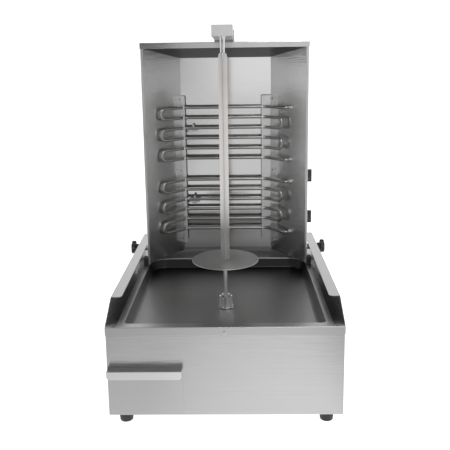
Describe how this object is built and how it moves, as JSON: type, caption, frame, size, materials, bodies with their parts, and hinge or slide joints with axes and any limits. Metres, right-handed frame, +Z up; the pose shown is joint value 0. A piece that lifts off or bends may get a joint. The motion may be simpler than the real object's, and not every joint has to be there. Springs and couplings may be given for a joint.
{
  "type": "electric skewer grill",
  "caption": "Electric vertical broiler: a turning upright skewer over a drip pan with a drawer, before a sliding heater cabinet with an adjustable top arm.",
  "frame": {"origin": "middle of the grill's footprint, on the surface that its feet stand on", "axes": "+Z up; +X to the right seen from the front; the front, with the drawer, faces -Y"},
  "size_m": [0.5546, 0.6316, 0.8547],
  "materials": {
    "brushed_panel": "stainless sheet with a fine straight brushed grain, soft satin sheen",
    "pan_sheet": "pressed stainless sheet, satin with faint cooking marks and wiped streaks",
    "reflector_sheet": "bright rolled stainless, near-mirror with soft vertical streaks",
    "polished_steel": "turned and polished steel",
    "skewer_steel": "ground stainless bar with bright corners",
    "element_tube": "drawn heater tube, satin grey with slight heat tint",
    "bracket_steel": "thin stainless strip, satin with sheared edges",
    "fastener_steel": "bright zinc-plated steel",
    "ceramic": "unglazed off-white ceramic",
    "black_knob": "moulded black thermoset with fine texture and soft edge sheen",
    "black_rubber": "moulded rubber, dusty matt",
    "gland_plastic": "moulded black nylon",
    "motor_paint": "dark grey enamel",
    "cast_alloy": "die-cast alloy, fine shot-blasted skin",
    "bronze": "plain sintered bronze"
  },
  "bodies": {
    "base": {"base_left_side": "brushed_panel", "base_right_side": "brushed_panel", "base_front": "brushed_panel", "base_back": "brushed_panel", "base_bottom": "brushed_panel", "feet": "black_rubber", "foot_fasteners": "fastener_steel", "drip_pan": "pan_sheet", "pan_screw": "fastener_steel", "left_guard": "brushed_panel", "right_guard": "brushed_panel", "drawer_runners": "bracket_steel", "motor_bracket": "bracket_steel", "gearbox": "cast_alloy", "motor": "motor_paint", "shaft_bush": "bronze"},
    "drawer": {"drawer_box": "bracket_steel", "drawer_front": "brushed_panel"},
    "skewer": {"drive_shaft": "polished_steel", "drive_socket": "polished_steel", "skewer_rod": "polished_steel", "skewer_pins": "polished_steel", "meat_disc": "skewer_steel", "skewer_bar": "skewer_steel"},
    "top_spindle": {"top_spindle": "polished_steel"},
    "cabinet": {"left_cover": "brushed_panel", "right_cover": "brushed_panel", "rear_cover": "brushed_panel", "rear_cover_screws": "fastener_steel", "back_reflector": "reflector_sheet", "left_wing": "reflector_sheet", "right_wing": "reflector_sheet", "top_reflector": "reflector_sheet", "cabinet_floor": "bracket_steel", "upper_element": "element_tube", "lower_element": "element_tube", "right_rack": "bracket_steel", "left_rack": "bracket_steel", "rack_screws": "fastener_steel", "terminal_ferrules": "fastener_steel", "sensor_bulbs": "polished_steel", "sensor_grommets": "black_rubber", "sensor_clips": "bracket_steel", "thermostats": "bracket_steel", "clamp_studs": "fastener_steel", "clamp_sleeves": "fastener_steel", "slide_blocks": "black_rubber", "cabinet_cap": "brushed_panel", "arm_guides": "bracket_steel", "guide_fasteners": "fastener_steel", "terminal_block": "ceramic", "cable_gland": "gland_plastic"},
    "arm": {"arm_channel": "brushed_panel", "arm_bush": "polished_steel"},
    "upper_control": {"upper_control_shaft": "fastener_steel", "upper_control_knob": "black_knob"},
    "lower_control": {"lower_control_shaft": "fastener_steel", "lower_control_knob": "black_knob"},
    "left_clamp": {"left_clamp_knob": "black_knob"},
    "right_clamp": {"right_clamp_knob": "black_knob"}
  },
  "joints": [
    {"name": "drawer_slide", "type": "slide", "parent": "base", "child": "drawer", "axis": [0, -1, 0], "range_m": [0, 0.34]},
    {"name": "skewer_spin", "type": "hinge", "parent": "base", "child": "skewer", "pos_m": [0, -0.12425, 0.2039], "axis": [0, 0, 1], "continuous": true},
    {"name": "spindle_lift", "type": "slide", "parent": "skewer", "child": "top_spindle", "axis": [0, 0, 1], "range_m": [0, 0.014]},
    {"name": "cabinet_slide", "type": "slide", "parent": "base", "child": "cabinet", "axis": [0, -1, 0], "range_m": [0, 0.12]},
    {"name": "arm_slide", "type": "slide", "parent": "cabinet", "child": "arm", "axis": [0, -1, 0], "range_m": [-0.12, 0]},
    {"name": "upper_control_turn", "type": "hinge", "parent": "cabinet", "child": "upper_control", "pos_m": [0.2155, 0.18075, 0.46], "axis": [1, 0, 0], "range_deg": [-270, 0]},
    {"name": "lower_control_turn", "type": "hinge", "parent": "cabinet", "child": "lower_control", "pos_m": [0.2155, 0.18075, 0.344], "axis": [1, 0, 0], "range_deg": [-270, 0]},
    {"name": "left_clamp_turn", "type": "hinge", "parent": "cabinet", "child": "left_clamp", "pos_m": [-0.2533, 0.21775, 0.2462], "axis": [-1, 0, 0], "range_deg": [0, 360]},
    {"name": "right_clamp_turn", "type": "hinge", "parent": "cabinet", "child": "right_clamp", "pos_m": [0.2533, 0.21775, 0.2462], "axis": [1, 0, 0], "range_deg": [0, 360]}
  ],
  "couplings": [
    {"joint": "arm_slide", "follows": "cabinet_slide", "ratio": -1}
  ]
}
